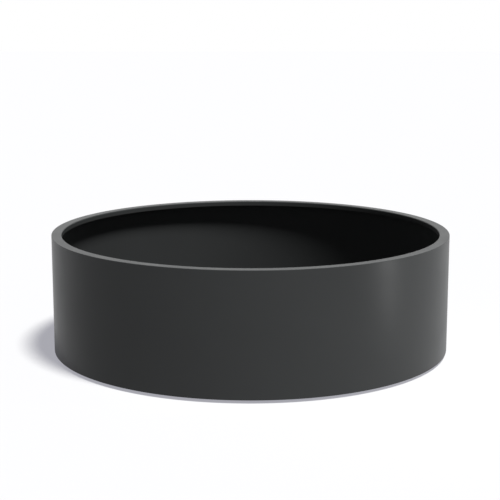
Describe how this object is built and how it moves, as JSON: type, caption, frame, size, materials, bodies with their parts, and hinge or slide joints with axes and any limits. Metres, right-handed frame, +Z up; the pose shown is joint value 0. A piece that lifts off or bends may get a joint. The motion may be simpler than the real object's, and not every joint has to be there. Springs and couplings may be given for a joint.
{
  "type": "round planter",
  "caption": "Low round open-topped planter in coated steel sheet, with a flat turned-in rim, a drained floor on welded bearers and screw-adjusted levelling feet.",
  "frame": {"origin": "on the ground, under the middle of the planter, with every foot screwed home", "axes": "+Z up along the planter's axis of symmetry; X and Y are alike, and the two long bearers under the floor run along X"},
  "size_m": [1.9998, 1.9998, 0.6],
  "materials": {
    "coated_steel": "satin fine-textured powder coat",
    "zinc_steel": "bright zinc plate",
    "pad_plastic": "moulded matt black"
  },
  "bodies": {
    "planter": {"wall": "coated_steel", "rim": "coated_steel", "base_flange": "coated_steel", "floor_plate": "coated_steel", "long_bearer_front": "coated_steel", "long_bearer_back": "coated_steel", "middle_bearer_left": "coated_steel", "middle_bearer_right": "coated_steel", "end_bearer_front_left": "coated_steel", "end_bearer_front_right": "coated_steel", "end_bearer_back_left": "coated_steel", "end_bearer_back_right": "coated_steel", "crossing_plates": "coated_steel", "flange_bushes": "coated_steel", "crossing_bushes": "coated_steel"},
    "pad_1": {"foot_pad_1": "pad_plastic"},
    "stud_1": {"foot_stud_1": "zinc_steel"},
    "pad_2": {"foot_pad_2": "pad_plastic"},
    "stud_2": {"foot_stud_2": "zinc_steel"},
    "pad_3": {"foot_pad_3": "pad_plastic"},
    "stud_3": {"foot_stud_3": "zinc_steel"},
    "pad_4": {"foot_pad_4": "pad_plastic"},
    "stud_4": {"foot_stud_4": "zinc_steel"},
    "pad_5": {"foot_pad_5": "pad_plastic"},
    "stud_5": {"foot_stud_5": "zinc_steel"},
    "pad_6": {"foot_pad_6": "pad_plastic"},
    "stud_6": {"foot_stud_6": "zinc_steel"},
    "pad_7": {"foot_pad_7": "pad_plastic"},
    "stud_7": {"foot_stud_7": "zinc_steel"},
    "pad_8": {"foot_pad_8": "pad_plastic"},
    "stud_8": {"foot_stud_8": "zinc_steel"},
    "pad_9": {"foot_pad_9": "pad_plastic"},
    "stud_9": {"foot_stud_9": "zinc_steel"},
    "pad_10": {"foot_pad_10": "pad_plastic"},
    "stud_10": {"foot_stud_10": "zinc_steel"},
    "pad_11": {"foot_pad_11": "pad_plastic"},
    "stud_11": {"foot_stud_11": "zinc_steel"},
    "pad_12": {"foot_pad_12": "pad_plastic"},
    "stud_12": {"foot_stud_12": "zinc_steel"}
  },
  "joints": [
    {"name": "foot_travel_1", "type": "slide", "parent": "planter", "child": "pad_1", "axis": [0, 0, -1], "range_m": [0, 0.021]},
    {"name": "foot_turn_1", "type": "hinge", "parent": "pad_1", "child": "stud_1", "pos_m": [0.925, 0, 0.012], "axis": [0, 0, -1], "range_deg": [0, 4320]},
    {"name": "foot_travel_2", "type": "slide", "parent": "planter", "child": "pad_2", "axis": [0, 0, -1], "range_m": [0, 0.021]},
    {"name": "foot_turn_2", "type": "hinge", "parent": "pad_2", "child": "stud_2", "pos_m": [0.65407, 0.65407, 0.012], "axis": [0, 0, -1], "range_deg": [0, 4320]},
    {"name": "foot_travel_3", "type": "slide", "parent": "planter", "child": "pad_3", "axis": [0, 0, -1], "range_m": [0, 0.021]},
    {"name": "foot_turn_3", "type": "hinge", "parent": "pad_3", "child": "stud_3", "pos_m": [0, 0.925, 0.012], "axis": [0, 0, -1], "range_deg": [0, 4320]},
    {"name": "foot_travel_4", "type": "slide", "parent": "planter", "child": "pad_4", "axis": [0, 0, -1], "range_m": [0, 0.021]},
    {"name": "foot_turn_4", "type": "hinge", "parent": "pad_4", "child": "stud_4", "pos_m": [-0.65407, 0.65407, 0.012], "axis": [0, 0, -1], "range_deg": [0, 4320]},
    {"name": "foot_travel_5", "type": "slide", "parent": "planter", "child": "pad_5", "axis": [0, 0, -1], "range_m": [0, 0.021]},
    {"name": "foot_turn_5", "type": "hinge", "parent": "pad_5", "child": "stud_5", "pos_m": [-0.925, 0, 0.012], "axis": [0, 0, -1], "range_deg": [0, 4320]},
    {"name": "foot_travel_6", "type": "slide", "parent": "planter", "child": "pad_6", "axis": [0, 0, -1], "range_m": [0, 0.021]},
    {"name": "foot_turn_6", "type": "hinge", "parent": "pad_6", "child": "stud_6", "pos_m": [-0.65407, -0.65407, 0.012], "axis": [0, 0, -1], "range_deg": [0, 4320]},
    {"name": "foot_travel_7", "type": "slide", "parent": "planter", "child": "pad_7", "axis": [0, 0, -1], "range_m": [0, 0.021]},
    {"name": "foot_turn_7", "type": "hinge", "parent": "pad_7", "child": "stud_7", "pos_m": [0, -0.925, 0.012], "axis": [0, 0, -1], "range_deg": [0, 4320]},
    {"name": "foot_travel_8", "type": "slide", "parent": "planter", "child": "pad_8", "axis": [0, 0, -1], "range_m": [0, 0.021]},
    {"name": "foot_turn_8", "type": "hinge", "parent": "pad_8", "child": "stud_8", "pos_m": [0.65407, -0.65407, 0.012], "axis": [0, 0, -1], "range_deg": [0, 4320]},
    {"name": "foot_travel_9", "type": "slide", "parent": "planter", "child": "pad_9", "axis": [0, 0, -1], "range_m": [0, 0.021]},
    {"name": "foot_turn_9", "type": "hinge", "parent": "pad_9", "child": "stud_9", "pos_m": [0.32, 0.32, 0.012], "axis": [0, 0, -1], "range_deg": [0, 4320]},
    {"name": "foot_travel_10", "type": "slide", "parent": "planter", "child": "pad_10", "axis": [0, 0, -1], "range_m": [0, 0.021]},
    {"name": "foot_turn_10", "type": "hinge", "parent": "pad_10", "child": "stud_10", "pos_m": [-0.32, 0.32, 0.012], "axis": [0, 0, -1], "range_deg": [0, 4320]},
    {"name": "foot_travel_11", "type": "slide", "parent": "planter", "child": "pad_11", "axis": [0, 0, -1], "range_m": [0, 0.021]},
    {"name": "foot_turn_11", "type": "hinge", "parent": "pad_11", "child": "stud_11", "pos_m": [-0.32, -0.32, 0.012], "axis": [0, 0, -1], "range_deg": [0, 4320]},
    {"name": "foot_travel_12", "type": "slide", "parent": "planter", "child": "pad_12", "axis": [0, 0, -1], "range_m": [0, 0.021]},
    {"name": "foot_turn_12", "type": "hinge", "parent": "pad_12", "child": "stud_12", "pos_m": [0.32, -0.32, 0.012], "axis": [0, 0, -1], "range_deg": [0, 4320]}
  ],
  "couplings": [
    {"joint": "foot_turn_1", "follows": "foot_travel_1", "rad_per_m": 3590.4},
    {"joint": "foot_turn_2", "follows": "foot_travel_2", "rad_per_m": 3590.4},
    {"joint": "foot_turn_3", "follows": "foot_travel_3", "rad_per_m": 3590.4},
    {"joint": "foot_turn_4", "follows": "foot_travel_4", "rad_per_m": 3590.4},
    {"joint": "foot_turn_5", "follows": "foot_travel_5", "rad_per_m": 3590.4},
    {"joint": "foot_turn_6", "follows": "foot_travel_6", "rad_per_m": 3590.4},
    {"joint": "foot_turn_7", "follows": "foot_travel_7", "rad_per_m": 3590.4},
    {"joint": "foot_turn_8", "follows": "foot_travel_8", "rad_per_m": 3590.4},
    {"joint": "foot_turn_9", "follows": "foot_travel_9", "rad_per_m": 3590.4},
    {"joint": "foot_turn_10", "follows": "foot_travel_10", "rad_per_m": 3590.4},
    {"joint": "foot_turn_11", "follows": "foot_travel_11", "rad_per_m": 3590.4},
    {"joint": "foot_turn_12", "follows": "foot_travel_12", "rad_per_m": 3590.4}
  ]
}
